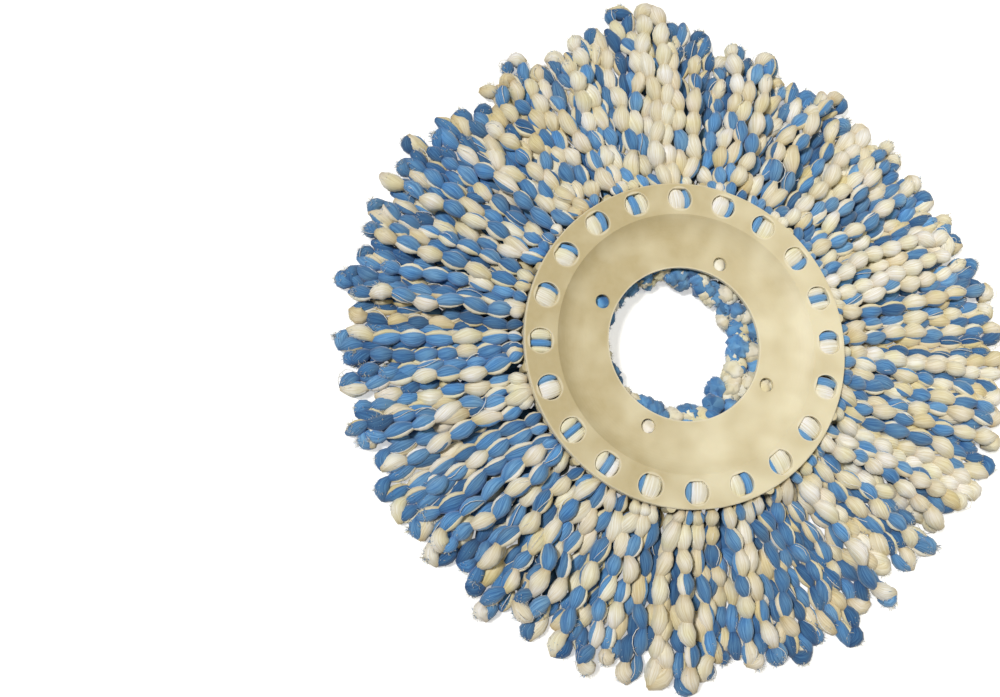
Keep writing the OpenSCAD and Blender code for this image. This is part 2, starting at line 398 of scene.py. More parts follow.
# %% Every strand before it settles
LANES = (-0.80, -0.27, 0.27, 0.80)
LOWEST_START = 14
NEXT_START = 5.0
FLAT_LOOP_START = 34
LOOSE_END_START = 38
CREAM_TUFT = 5
CREAM_BUMPS = ((0.12, 100, 40), (-0.14, 212, 16))

strands = []
for tuft in range(TUFTS):
    tip = reach_at(tuft * PITCH) - 2
    draws = (rng.permutation(7) + rng.random(7)) / 7
    kinds = np.where(draws < 0.14 + bumps_at(tuft * PITCH, CREAM_BUMPS), "cream", "mixed")
    if abs(tuft - CREAM_TUFT) < 2:
        kinds[:4] = "mixed"
    starts = LOWEST_START + NEXT_START * rng.permutation(4)
    for lane, start, kind in zip(LANES, starts, kinds):
        lane = lane + rng.uniform(-0.17, 0.17)
        strands.append(make_falling_loop(tuft, lane, tip - rng.uniform(0, 10), start, kind))
    for lane in (rng.uniform(-0.3, 0.3), 1):
        strands.append(make_cut_end(tuft, lane, tip - rng.uniform(4, 16), LOW_Z, "mixed"))
    extra = rng.random()
    if tuft == CREAM_TUFT:
        strands.append(make_flat_loop(tuft, 0.15, tip, FLAT_LOOP_START, "cream"))
    elif extra < 0.30:
        lane = rng.uniform(-0.7, 0.7)
        strands.append(make_flat_loop(tuft, lane, tip - rng.uniform(0, 14), FLAT_LOOP_START, kinds[5]))
    elif extra < 0.65:
        lane = rng.uniform(-0.8, 0.8)
        strands.append(make_cut_end(tuft, lane, tip - rng.uniform(0, 18), LOOSE_END_START, kinds[6]))
print(len(strands), "strands,", sum(len(s.nodes) for s in strands), "balls")

# %% [markdown]
# Letting the strands down is a small relaxation in numpy. Each round moves the balls a little: down, back to
# their step from the next ball, apart where two strands press into each other, and up where they would sink
# into the floor. Pairs that might touch are looked for only every few rounds, and only in a tuft and the next
# one, which makes it fast.

# %% Which balls may touch
NEAR = 2.0


def touching_pairs(place, size, strand_of, tuft_of, order):
    """Pairs of balls on different stretches of yarn that are near enough to touch."""
    found = []
    for tuft in range(TUFTS):
        here = np.nonzero(tuft_of == tuft)[0]
        near = np.nonzero((tuft_of == tuft) | (tuft_of == (tuft + 1) % TUFTS))[0]
        apart = place[here, None] - place[None, near]
        gap = np.sqrt((apart * apart).sum(axis=2)) - size[here, None] - size[None, near]
        a, b = np.nonzero(gap < NEAR)
        a, b = here[a], near[b]
        same_tuft = tuft_of[a] == tuft_of[b]
        keep = (~same_tuft | (b > a)) & ((strand_of[a] != strand_of[b]) | (np.abs(order[a] - order[b]) > 3))
        found.append(np.stack([a[keep], b[keep]]))
    return np.concatenate(found, axis=1)


print(f"balls less than {NEAR:.0f} mm apart may touch")

# %% [markdown]
# The held balls stay where the yarn leaves the ring. It is squeezed thin there, so its balls grow over the first
# stretch. They fall fast at first and then slowly, so that the yarn comes to rest.

# %% Letting the yarn settle
ROUNDS = 300
LOOK_EVERY = 8
GROW_RUN = 8
EXIT_SHARE = 0.55
MOST_PUSH = 1.2


def fall_at(share):
    """How far the balls fall in one round, by the share of the rounds that is over."""
    return 0.30 if share < 0.5 else 0.12 if share < 0.85 else 0.03


def settle(strands):
    place, low, held, stiff, straight = (np.concatenate([getattr(s, name) for s in strands])
                                         for name in ("nodes", "low", "held", "stiff", "straight"))
    strand_of = np.repeat(np.arange(len(strands)), [len(s.nodes) for s in strands])
    tuft_of = np.repeat([s.tuft for s in strands], [len(s.nodes) for s in strands])
    order = np.concatenate([np.arange(len(s.nodes)) for s in strands])
    links = np.concatenate([np.append(s.links, STEP) for s in strands])
    mobile = (~held).astype(float)
    full = np.where(order % 2 == 1, MIDDLE_BALL, NECK_BALL)
    home = place.copy()
    most = reach_at(np.arctan2(place[:, 1], place[:, 0])) + 3 - full
    one_on = np.nonzero(strand_of[1:] == strand_of[:-1])[0]
    two_on = np.nonzero(strand_of[2:] == strand_of[:-2])[0]
    four_on = np.nonzero((strand_of[4:] == strand_of[:-4]) & (straight[2:-2] > 0))[0]

    def shared_push(a, b, error, stiffness):
        """How far each of two balls has to go to take away a share of their error."""
        apart = place[b] - place[a]
        length = np.maximum(np.linalg.norm(apart, axis=1), 1e-6)
        return apart / length[:, None] * (error(length) / np.maximum(mobile[a] + mobile[b], 1) * stiffness)[:, None]

    def hold_step(a, b, error, stiffness):
        push = shared_push(a, b, error, stiffness)
        place[a] += push * mobile[a][:, None]
        place[b] -= push * mobile[b][:, None]

    for turn in range(ROUNDS):
        if turn % LOOK_EVERY == 0:
            radius = radius_of(place)
            size = full * (EXIT_SHARE + (1 - EXIT_SHARE) * np.clip((radius - RIM_R) / GROW_RUN, 0, 1))
            a, b = touching_pairs(place, size, strand_of, tuft_of, order)
        place[:, 2] -= fall_at(turn / ROUNDS) * mobile
        for parity in range(2):
            some = one_on[one_on % 2 == parity]
            hold_step(some, some + 1, lambda length: length - links[some], 1.0)
        for steps, starts, least, stiffness in ((2, two_on, stiff, 0.5), (4, four_on, straight, 0.4)):
            for phase in range(steps + 1):
                some = starts[starts % (steps + 1) == phase]
                wanted = least[some + steps // 2] * sum(links[some + k] for k in range(steps)) / steps
                hold_step(some, some + steps, lambda length: np.minimum(length - wanted, 0), stiffness)
        push = shared_push(a, b, lambda length: np.maximum(0.90 * (size[a] + size[b]) - length, 0), 0.6)
        moved = np.zeros_like(place)
        np.add.at(moved, a, -push * mobile[a][:, None])
        np.add.at(moved, b, push * mobile[b][:, None])
        place += moved / np.maximum(np.linalg.norm(moved, axis=1, keepdims=True) / MOST_PUSH, 1)
        place[:, 2] = np.maximum(place[:, 2], 0.92 * size)
        radius = radius_of(place)
        least = np.where(held, 0, RIM_R + 2.2 + size * 0.5)
        place[:, :2] *= (np.clip(radius, least, most) / radius)[:, None]
        by_rim = (radius < RIM_R + 6) & ~held & ~low
        place[by_rim, 2] = np.clip(place[by_rim, 2], SLOT_Z - 6, SLOT_Z + 4.0)
        place[held] = home[held]
    start = 0
    for s in strands:
        s.nodes = place[start:start + len(s.nodes)]
        s.sizes = size[start:start + len(s.nodes)]
        start += len(s.nodes)


settle(strands)
print(f"after {ROUNDS} rounds the highest ball is {max(s.nodes[:, 2].max() for s in strands):.1f} mm up")

# %% [markdown]
# Balls without friction lie down side by side, more tidily than yarn does. So some strands are raised a little
# afterwards, onto their neighbours, and some are sunk, and each ball is moved a little aside.

# %% Some strands on top of others
LIFTS = [-2.8, -0.3, 2.8]

for s in strands:
    run = (radius_of(s.nodes) - RIM_R - 4) / (REACH_R - RIM_R)
    s.lift = rng.choice(LIFTS)
    s.nodes[:, 2] += s.lift * np.sin(math.pi * np.clip(run, 0, 1) ** 0.7) * ~s.low
    loose = 0.4 + 0.5 * abs(math.sin(s.tuft * PITCH))
    s.nodes[2:-2] += across_at(s.tuft * PITCH) * rng.normal(0, loose, (len(s.nodes) - 4, 1))
print(f"the fringe lies {max(s.nodes[:, 2].max() for s in strands) + MIDDLE_BALL:.1f} mm high")

# %% [markdown]
# The yarn itself is two plies, a blue and a cream one, wound round each other and pinched by a thin thread every
# 12 mm, so that between two pinches each ply swells into a soft puff. A puff is modelled: a small ball
# with its poles along X, whose belly and shoulders are drawn in to a spindle, whose ends are left fuller for
# the cream ply, and whose side towards the other ply is pressed flat. A third, fuller one is for the windows.
# Each is repeated many times, so it has only 72 faces.

# %% The puffs
def measured(items, name, size=1, kind=int):
    values = np.empty(len(items) * size, kind)
    items.foreach_get(name, values)
    return values


def measure_template():
    """The active mesh as numpy arrays: its points, its faces and its own UV map. The object itself goes."""
    mesh = bpy.context.object.data
    points = measured(mesh.vertices, "co", 3, float).reshape(-1, 3)
    counts = measured(mesh.polygons, "loop_total")
    corners = measured(mesh.loops, "vertex_index")
    uv = measured(mesh.uv_layers[0].data, "uv", 2, float).reshape(-1, 2)
    bpy.data.objects.remove(bpy.context.object, do_unlink=True)
    return points, counts, corners, uv


def press(places, factor):
    """Scale the points of the edit mesh that a rule picks, about the middle of the object."""
    piece = bpy.context.object
    bpy.ops.mesh.select_all(action="DESELECT")
    bpy.ops.object.mode_set(mode="OBJECT")
    for vertex in piece.data.vertices:
        vertex.select = places(vertex.co)
    bpy.ops.object.mode_set(mode="EDIT")
    bpy.ops.transform.resize(value=factor, center_override=(0, 0, 0))


def puff_template(belly, shoulder, end, flat):
    deselect_all()
    bpy.ops.mesh.primitive_uv_sphere_add(segments=9, ring_count=8, radius=1, rotation=(0, math.pi / 2, 0))
    bpy.ops.object.transform_apply(location=False, rotation=True, scale=False)
    bpy.ops.object.mode_set(mode="EDIT")
    bpy.ops.mesh.select_mode(type="VERT")
    for low, high, factor in ((0.2, 0.5, belly), (0.5, 0.8, shoulder), (0.8, 0.99, end)):
        press(lambda co: low < abs(co.x) < high, (1, factor, factor))
    press(lambda co: co.y < -0.3, (1, flat, 1))
    bpy.ops.object.mode_set(mode="OBJECT")
    return measure_template()


CREAM_PUFF = puff_template(belly=0.95, shoulder=0.87, end=1.25, flat=0.9)
BLUE_PUFF = puff_template(belly=0.94, shoulder=0.80, end=1.0, flat=0.9)
STRAP_PUFF = puff_template(belly=1.0, shoulder=1.06, end=1.05, flat=0.85)
print("a puff has", len(CREAM_PUFF[1]), "faces")

# %% [markdown]
# Thousands of copies are quicker to place in numpy than one by one. Each copy is bent along its own stretch of
# the strand: its X runs along the curve through one neck, the middle and the next neck, and it turns round that
# curve by its roll, with some more twist from end to end.

# %% Bending copies along a strand
def unit(v):
    return v / np.maximum(np.linalg.norm(v, axis=-1, keepdims=True), 1e-9)


def bend_copies(template, first, middle, last, width, offset=0.0, roll=0.0, twist=0.0, reach=1.0):
    """Copies of a template along stretches of curve, as (copies, points, 3)."""
    offset, roll, twist = (np.broadcast_to(value, len(middle))[:, None] for value in (offset, roll, twist))
    points = template[0]
    t = points[:, 0] * reach
    half = (last - first)[:, None] / 2
    bow = ((first + last) / 2 - middle)[:, None]
    on_curve = middle[:, None] + half * t[:, None] + bow * (t * t)[:, None]
    along = unit(half + 2 * bow * t[:, None])
    up = np.tile([0.0, 0.0, 1.0], (len(middle), 1))
    steep = np.abs(unit(last - first)[:, 2]) > 0.9
    up[steep] = unit(middle[steep] * [1, 1, 0])
    up = unit(up[:, None] - (up[:, None] * along).sum(axis=2, keepdims=True) * along)
    aside = np.cross(along, up)
    turn = roll + twist * t
    y = points[:, 1] * width[:, :1] + offset * (1 - 0.6 * t * t)
    z = points[:, 2] * width[:, 1:]
    out_y = y * np.cos(turn) - z * np.sin(turn)
    out_z = y * np.sin(turn) + z * np.cos(turn)
    return on_curve + aside * out_y[..., None] + up * out_z[..., None]


straight_puff = bend_copies(CREAM_PUFF, *(np.array([[x, 0.0, 0.0]]) for x in (-STEP, 0.0, STEP)), np.ones((1, 2)))
print(f"a copy on a straight stretch is {np.ptp(straight_puff[..., 0]):.1f} mm long")

# %% [markdown]
# All the copies of a tuft go into one mesh, which carries three values on its points: which ply they belong to,
# how pale or deep that puff's dye took, with painted shade on the yarn that lies low and painted light on raised
# yarn and on the yarn in the windows, and how near they are to a neck, which sets a painted shade there. The
# mesh is filled from whole arrays, which is fast.

# %% One mesh from many copies
NECK_FALL = 2.6


class Heap:
    """Copies that will share one mesh."""
    def __init__(self):
        self.points, self.counts, self.corners, self.uv = [], [], [], []
        self.ply, self.shade, self.neck = [], [], []
        self.total = 0

    def add(self, template, placed, ply, shade, uv_shift, pinch=1):
        copies, size = placed.shape[:2]
        base = self.total + np.arange(copies) * size
        self.points.append(placed.reshape(-1, 3) * MM)
        self.counts.append(np.tile(template[1], copies))
        self.corners.append((template[2] + base[:, None]).ravel())
        self.uv.append((template[3] + uv_shift[:, None]).reshape(-1, 2))
        self.ply.append(np.repeat(np.broadcast_to(ply, copies), size))
        self.shade.append(np.repeat(np.broadcast_to(shade, copies), size))
        # The neck value sets a painted shade towards the necks; a zero factor leaves it out.
        self.neck.append(np.tile(pinch * np.minimum(np.abs(template[0][:, 0]), 1) ** NECK_FALL, copies))
        self.total += copies * size

    def faces(self):
        return sum(len(counts) for counts in self.counts)


def heap_to_piece(name, heap, material):
    parts = heap.points, heap.counts, heap.corners, heap.uv
    points, counts, corners, uv = (np.concatenate(part) for part in parts)
    points[:, 2] = np.maximum(points[:, 2], 0)
    mesh = bpy.data.meshes.new(name)
    mesh.vertices.add(len(points))
    mesh.vertices.foreach_set("co", points.ravel())
    mesh.loops.add(len(corners))
    mesh.loops.foreach_set("vertex_index", corners)
    mesh.polygons.add(len(counts))
    mesh.polygons.foreach_set("loop_start", np.concatenate([[0], np.cumsum(counts)[:-1]]))
    mesh.uv_layers.new(name="UVMap").data.foreach_set("uv", uv.ravel())
    for label, values in (("ply", heap.ply), ("shade", heap.shade), ("neck", heap.neck)):
        mesh.attributes.new(label, "FLOAT", "POINT").data.foreach_set("value", np.concatenate(values))
    mesh.update(calc_edges=True)
    mesh.polygons.foreach_set("use_smooth", np.ones(len(counts), bool))
    mesh.materials.append(material)
    piece = bpy.data.objects.new(name, mesh)
    bpy.context.scene.collection.objects.link(piece)
    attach(piece, "root")
    return piece


def heaps_to_pieces(label, heaps, material):
    """One piece for each tuft."""
    pieces = [heap_to_piece(f"tuft_{tuft + 1:02d}_{label}", heap, material) for tuft, heap in enumerate(heaps)]
    print(f"{len(pieces)} pieces of {label}, {sum(heap.faces() for heap in heaps)} faces")
    return pieces


print("three values on every point: ply, shade and neck")

# %% [markdown]
# Microfibre yarn is matt, with a soft bloom where it turns away from the eye, and its filaments run along the
# puff and gather at the necks. Lines as fine as these would take millions of faces, so they are bump and a
# painted shade between the filaments. They are a group, because the thread needs them too: noise on the UV map,
# stretched along the puff.

# %% The filament lines
def filament_group():
    group, tree, given, put_out = new_group("filament_lines", ("Lines Around", "Lines Along"), "Lines")
    scale = tree.add("CombineXYZ", {"X": given.outputs["Lines Around"], "Y": given.outputs["Lines Along"]})
    stretch = tree.add("VectorMath", {0: tree.add("UVMap", {}).outputs["UV"], 1: scale.outputs["Vector"]},
                       operation="MULTIPLY")
    noise = tree.add("TexNoise", {"Vector": stretch.outputs["Vector"], "Scale": 1.0, "Detail": 3.0},
                     noise_dimensions="2D")
    tree.fill(put_out, {"Lines": noise.outputs["Fac"]})
    return group


FILAMENTS = filament_group()


def filament_lines(tree, around, along):
    return tree.add("Group", {"Lines Around": around, "Lines Along": along}, node_tree=FILAMENTS).outputs["Lines"]


print("a group that puts out lines along the yarn")

# %% [markdown]
# The yarn's material mixes the two dyes by the ply value, each of them paler or deeper by the shade value, which
# also carries painted shade and painted light. Three tints are multiplied into the dye: a painted shade between
# the filament lines, a painted shade towards the necks, in the crease between two puffs, and in patches as large
# as a puff a yellower or whiter cream and a greyer or deeper blue.

# %% The yarn's material
WHITE = (1.0, 1.0, 1.0)


def yarn_material():
    material, tree, shader = new_material("microfibre_yarn")
    lines = filament_lines(tree, 38, 1.8)
    shade, ply, neck = (tree.attribute(name) for name in ("shade", "ply", "neck"))
    blue = tree.mix(shade, (0.066, 0.178, 0.362), (0.190, 0.440, 0.780))
    cream = tree.mix(shade, (0.785, 0.700, 0.482), (0.935, 0.945, 0.895))
    # Painted shade: the dye is made deeper between the filament lines, where the fibres shade each other.
    deep = tree.mix(ply, (0.835, 0.785, 0.68), (0.43, 0.535, 0.68))
    filament_painted_shade = tree.mix(tree.remap(lines, 0.35, 0.65), deep, WHITE)
    # Painted shade: the dye is made deeper towards each neck, in the crease between two puffs.
    pinched = tree.mix(ply, (0.70, 0.60, 0.44), (0.40, 0.49, 0.62))
    painted_neck_shade = tree.mix(neck, WHITE, pinched)
    patches = tree.remap(tree.noise(75, 2.0), 0.3, 0.7)
    cream_patch = tree.mix(patches, (1.05, 1.06, 1.20), (0.96, 0.94, 0.76))
    blue_patch = tree.mix(patches, (1.35, 1.12, 0.97), (0.82, 0.96, 1.05))
    colour = tree.mix(ply, cream, blue)
    for tint in (filament_painted_shade, painted_neck_shade, tree.mix(ply, cream_patch, blue_patch)):
        colour = tree.mix(1.0, colour, tint, "MULTIPLY")
    tree.fill(shader, {"Base Color": colour, "Normal": tree.bump(lines, 0.35), "Roughness": 0.95,
                       "Specular IOR Level": 0.15, "Sheen Weight": 0.4, "Sheen Roughness": 0.5})
    return material


def thread_material():
    material, tree, shader = new_material("binding_thread_white")
    # Painted shade: the thread is made deeper between its filament lines.
    thread_tone_painted_shade = tree.mix(filament_lines(tree, 40, 12), (0.80, 0.80, 0.78), (0.98, 0.98, 0.96))
    tree.fill(shader, {"Base Color": thread_tone_painted_shade, "Roughness": 0.6})
    return material


YARN = yarn_material()
THREAD = thread_material()
print("materials:", YARN.name, "and", THREAD.name)

# %% [markdown]
# Now the settled rows of balls become yarn. Between two pinches one ply is plump and the other runs thin along
# its side, and from puff to puff they change places, so blue and cream alternate along a strand and the strand
# zigzags a little. In a few strands the cream ply stays on top and plump all the way. The two plies roll only
# slowly round each other.

# %% The strands of each tuft
PLUMP = {"blue": (3.9, 3.8), "cream": (4.5, 4.3)}
THIN = {"blue": (1.1, 1.7), "cream": (1.25, 1.9)}
PLUMP_OFFSET = 0.8
THIN_OFFSET = 2.75
PUFF_REACH = 1.24
CHANGE_PLACES = 1.72
LOW_BLUE_SHARE = 0.85
BLUE_BUMPS = ((0.28, 165, 26), (0.24, 205, 18), (0.12, 55, 16), (0.08, 306, 12),
              (-0.12, 88, 16), (-0.40, 118, 18), (-0.10, 255, 20), (-0.20, 272, 16))


def plump_sides(s, middle):
    """Which ply is plump in each puff, 0 for cream and 1 for blue. The yarn on the floor is mostly blue."""
    outside = np.clip((radius_of(middle) - RIM_R - 25) / 40, 0, 1)
    left_side = math.cos(s.tuft * PITCH - math.radians(200))
    blue_share = 0.53 + bumps_at(s.tuft * PITCH, BLUE_BUMPS) - 0.05 * s.lift + 0.16 * left_side * outside
    side = np.zeros(len(middle), int)
    side[0] = rng.integers(2)
    for k, draw in enumerate(rng.random(len(middle) - 1)):
        share = LOW_BLUE_SHARE if s.low[2 * k + 3] else blue_share[k]
        side[k + 1] = side[k] ^ (draw < CHANGE_PLACES * (1 - share if side[k] else share))
    return side


def strand_copies(heap, s):
    first, middle, last = s.nodes[:-2:2], s.nodes[1:-1:2], s.nodes[2::2]
    chord = (first + last) / 2
    bend = np.linalg.norm(chord - middle, axis=1) / np.linalg.norm(last - first, axis=1) * 2
    middle = chord + (middle - chord) * 0.4
    size = s.sizes[1:-1:2] / MIDDLE_BALL
    count = len(middle)
    slow = 0.55 * np.sin(rng.uniform(0, 6.28) + np.arange(count) * rng.uniform(0.2, 0.6))
    slow += rng.normal(0, 0.15, count)
    twist = rng.uniform(0.15, 0.4, count) * (1 if rng.random() < 0.5 else -1)
    if s.kind == "mixed":
        roll = math.pi * rng.integers(2) + slow
        plump_side = plump_sides(s, middle)
    else:
        roll = math.pi / 2 + 1.5 * slow
        plump_side = np.zeros(count, int)
    s.roll, s.centres = roll, middle
    straight = np.clip(1.25 - 1.5 * bend, 0.3, 1)
    shift = rng.uniform(0, 40, (count, 2))
    # Painted shade makes the yarn that lies low, under the top strands, deeper, and painted light makes raised
    # strands a little paler.
    paleness_with_painted_shade = rng.normal(0.8 if s.kind == "cream" else 0.64, 0.13) + 0.03 * s.lift - 0.4 * s.low[1:-1:2]
    fat = rng.uniform(0.88, 1.1, count)
    second = "cream" if s.kind == "cream" and rng.random() < 0.4 else "blue"
    for side, colour in enumerate(("cream", second)):
        plump = plump_side == side
        width = np.where(plump[:, None], PLUMP[colour], THIN[colour]) * (size * fat)[:, None]
        offset = np.where(plump, PLUMP_OFFSET, THIN_OFFSET) * size * straight
        template = BLUE_PUFF if colour == "blue" else CREAM_PUFF
        placed = bend_copies(template, first, middle, last, width, offset, roll + side * math.pi, twist, PUFF_REACH)
        shades = np.clip(rng.normal(paleness_with_painted_shade, 0.22), 0, 1)
        heap.add(template, placed, float(colour == "blue"), shades, shift + side * 7)


heaps = [Heap() for _ in range(TUFTS)]
for s in strands:
    strand_copies(heaps[s.tuft], s)
print("faces in the strands:", sum(heap.faces() for heap in heaps))

# %% [markdown]
# The lower legs don't end at the ring. They run on under the clamp ring towards the opening, where the yarn
# turns up under the dish, so the mop head is yarn all over its underside. There they lie side by side with no
# room to move, so their path is given, as radius and height, and they get thinner as the circle does.

# %% The yarn under the ring
UNDER_PATH = np.array([(EXIT_R, LOW_Z), (74, 3.4), (60, 2.9), (48, 2.5), (43, 3.2), (41, 6.2), (43, 10.0),
                       (47, 11.6), (53, 11.9), (60, 13.8), (65, 16.2)])
UNDER_STEP = 5.2
UNDER_BALL = 2.5


def under_strand(s):
    """The run inwards from the low end of a loop, at the angle that this end has."""
    angle = math.atan2(s.nodes[s.low_end][1], s.nodes[s.low_end][0])
    centre = s.tuft * PITCH
    lean = (angle - centre + math.pi) % (2 * math.pi) - math.pi
    angles = centre + lean * np.ones(len(UNDER_PATH)) + rng.normal(0, 0.006, len(UNDER_PATH))
    nodes = polar(UNDER_PATH[:, 0], angles, UNDER_PATH[:, 1])
    nodes[:, 2] += rng.uniform(-0.3, 0.3)
    inner = Strand(s.tuft, spaced(nodes, UNDER_STEP), 1, s.kind)
    inner.sizes = np.minimum(radius_of(inner.nodes) * 0.036, UNDER_BALL)
    return inner


for s in strands:
    if s.low_end is not None:
        strand_copies(heaps[s.tuft], under_strand(s))

for tuft, piece in enumerate(heaps_to_pieces("strands", heaps, YARN)):
    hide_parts(f"yarn_tuft_{tuft + 1:02d}")

# %% [markdown]
# In each window the yarn is pulled tight over a peg, so its plies lie beside each other and bulge a hair above
# the ring's top. Most windows show a wide cream ply with a narrow blue one on one side of it, and a few show
# three plies. Each ply is one copy of the fuller puff, wide and low, and they fill the window from edge to edge.

# %% The yarn in the windows
STRAP_WIDTH = 11.6
STRAP_RUN = 7.6
STRAP_FALL = 3.2
PLY_HIGH = 2.2
CROWN_Z = RING_TOP + 0.35


def draw_strap():
    """The widths of the plies from one side to the other, and which of them are blue."""
    blue = rng.uniform(0.2, 0.38)
    if rng.random() < 0.2:
        left = rng.uniform(0.25, 0.45)
        return (left, blue, 1 - left - blue), (False, True, False)
    if rng.random() < 0.5:
        return (blue, 1 - blue), (True, False)
    return (1 - blue, blue), (False, True)


def window_heap(tuft):
    heap = Heap()
    widths, blues = draw_strap()
    edges = np.concatenate([[0], np.cumsum(widths)]) * STRAP_WIDTH - STRAP_WIDTH / 2
    angle = tuft * PITCH + rng.normal(0, 0.004)
    out = np.array([math.cos(angle), math.sin(angle), 0.0])
    across = across_at(angle)
    slant = across * rng.normal(0, 0.8)
    for k, width in enumerate(np.diff(edges)):
        middle = (edges[k] + edges[k + 1]) / 2
        crown = CROWN_Z - PLY_HIGH - 0.03 * middle * middle
        point = out * WINDOW_R + across * middle * 0.96 + np.array([0, 0, crown])
        swing = across * middle * -0.14
        first = point - out * STRAP_RUN + swing - slant - np.array([0, 0, STRAP_FALL])
        last = point + out * STRAP_RUN + swing + slant - np.array([0, 0, STRAP_FALL])
        placed = bend_copies(STRAP_PUFF, first[None], point[None], last[None], np.array([[width * 0.58, PLY_HIGH]]),
                             twist=rng.normal(0, 0.03))
        # Painted light: the yarn in the windows gets the palest shade value, as yarn lying on top in full light.
        heap.add(STRAP_PUFF, placed, float(blues[k]), 1.0, rng.uniform(0, 40, (1, 2)))
    return heap


heaps_to_pieces("window_yarn", [window_heap(tuft) for tuft in range(TUFTS)], YARN)

# %% [markdown]
# A thin white thread binds the plies. It lies slack along the groove between them, from neck to neck, and
# crosses over at the neck, where it is tight. Its template is a thin three-sided rod, cut into six steps so
# that it can bend. Each copy starts on one side of the strand and is turned over to the other side by its end.

# %% The binding thread
def rod_template(steps, tip):
    """A three-sided rod of radius 1 along X, from -1 to 1."""
    deselect_all()
    bpy.ops.mesh.primitive_cone_add(vertices=3, radius1=1, radius2=tip, depth=2, rotation=(0, math.pi / 2, 0))
    bpy.ops.object.transform_apply(location=False, rotation=True, scale=False)
    bpy.ops.object.mode_set(mode="EDIT")
    for k in range(1, steps):
        bpy.ops.mesh.select_all(action="SELECT")
        bpy.ops.mesh.bisect(plane_co=(2 * k / steps - 1, 0, 0), plane_no=(1, 0, 0))
    bpy.ops.object.mode_set(mode="OBJECT")
    return measure_template()


THREAD_ROD = rod_template(6, 1)
THREAD_RADIUS = 0.2
THREAD_OFFSET = 3.95
THREAD_REACH = 1.06


def thread_copies(heap, s):
    chosen = np.nonzero(rng.random(len(s.roll)) < (0.45 if s.kind == "mixed" else 0.2))[0]
    if not len(chosen):
        return
    first, middle, last = (s.nodes[2 * chosen + k] for k in range(3))
    size = s.sizes[2 * chosen + 1] / MIDDLE_BALL
    count = len(chosen)
    hand = np.where(rng.random(count) < 0.5, 1, -1)
    roll = s.roll[chosen] + hand * rng.uniform(0.9, 1.5, count)
    twist = hand * rng.uniform(0.2, 0.7, count)
    placed = bend_copies(THREAD_ROD, first, middle, last, np.full((count, 2), THREAD_RADIUS),
                         THREAD_OFFSET * size, roll, twist, THREAD_REACH)
    heap.add(THREAD_ROD, placed, 0.0, rng.uniform(0, 1, count), rng.uniform(0, 9, (count, 2)))


thread_heaps = [Heap() for _ in range(TUFTS)]
for s in strands:
    thread_copies(thread_heaps[s.tuft], s)
heaps_to_pieces("binding_thread", thread_heaps, THREAD)

# %% [markdown]
# Inside the opening the yarn ends are cut and have burst open: ragged lumps of blue and cream that stick out
# from under the dish, further on one side than on the other. Each lump is a small ball whose surface is pushed
# in and out by a cloudy texture, turned any way. A lump also lies under each of the plate's holes.

# %% The burst ends in the opening
HOLES_R = mounts["plate_holes"]["dims"]["pcd_mm"] / 2
HOLES = mounts["plate_holes"]["dims"]["count"]
FIRST_HOLE = 3.5 * PITCH
LUMPS_PER_TUFT = 8
HOLE_LUMP = 6.5


def fluff_template(lump_size):
    """A ball of fluff, displaced by clouds as coarse as the lump size."""
    deselect_all()
    bpy.ops.mesh.primitive_ico_sphere_add(subdivisions=3, radius=1, location=(lump_size, 0, 0), calc_uvs=True)
    bpy.ops.object.transform_apply(location=True, rotation=True, scale=False)
    clouds = bpy.data.textures.new("fluff_clouds", "CLOUDS")
    clouds.noise_scale = lump_size
    clouds.noise_depth = 2
    ragged = bpy.context.object.modifiers.new("ragged", "DISPLACE")
    ragged.texture = clouds
    ragged.strength = 0.9
    ragged.mid_level = 0.55
    bpy.ops.object.modifier_apply(modifier=ragged.name)
    points, counts, corners, uv = measure_template()
    return points - [lump_size, 0, 0], counts, corners, uv * 0.15


FLUFF_BALLS = [fluff_template(size) for size in (0.45, 0.6, 0.75)]
fluff = Heap()
lumps = []


def add_lump(angle, radius, height, size, blue):
    middle = polar(np.array([radius]), angle, height)
    lumps.append((*middle[0], size, float(blue)))
    half = unit(rng.normal(0, 1, (1, 3)) * [1, 1, 0.4]) * size
    ball = FLUFF_BALLS[rng.integers(len(FLUFF_BALLS))]
    width = size * rng.uniform(0.65, 0.9, (1, 2))
    placed = bend_copies(ball, middle - half, middle, middle + half, width, roll=rng.uniform(0, 6.28))
    placed[..., 2] = np.minimum(placed[..., 2], DISH_UNDER - 0.3)
    fluff.add(FLUFF_BALLS[0], placed, float(blue), rng.uniform(0.3, 1), rng.uniform(0, 40, (1, 2)), pinch=0)


for tuft in range(TUFTS):
    fullness = 0.56 + 0.44 * math.cos(tuft * PITCH + math.radians(22))
    for k in range(LUMPS_PER_TUFT):
        angle = (tuft + (k + rng.uniform(0.1, 0.9)) / LUMPS_PER_TUFT) * PITCH
        radius = BORE_R + 3 - rng.uniform(0, 1 + 15 * fullness)
        height = rng.uniform(3, 9)
        add_lump(angle, radius, height, rng.uniform(3.4, 4.4 + 2.2 * fullness), rng.random() < 0.56)
for k in range(HOLES):
    add_lump(FIRST_HOLE + k * 2 * math.pi / HOLES, HOLES_R, DISH_UNDER - 4, HOLE_LUMP, k == 1)
heap_to_piece("burst_ends", fluff, YARN)
print(len(lumps), "burst ends,", fluff.faces(), "faces")

# %% [markdown]
# At the tips and on the burst ends filaments have come loose and stand off the yarn. Each is a three-sided
# sliver, bent outwards, thin enough to be seen only against the pale floor.

# %% Loose filaments
FILAMENT = rod_template(2, 0.4)
FILAMENT_LENGTH = 2.8
FILAMENT_RADIUS = 0.14
FILAMENTS_PER_STRAND = 160
FILAMENTS_PER_LUMP = 60
FRAYED_RUN = 14


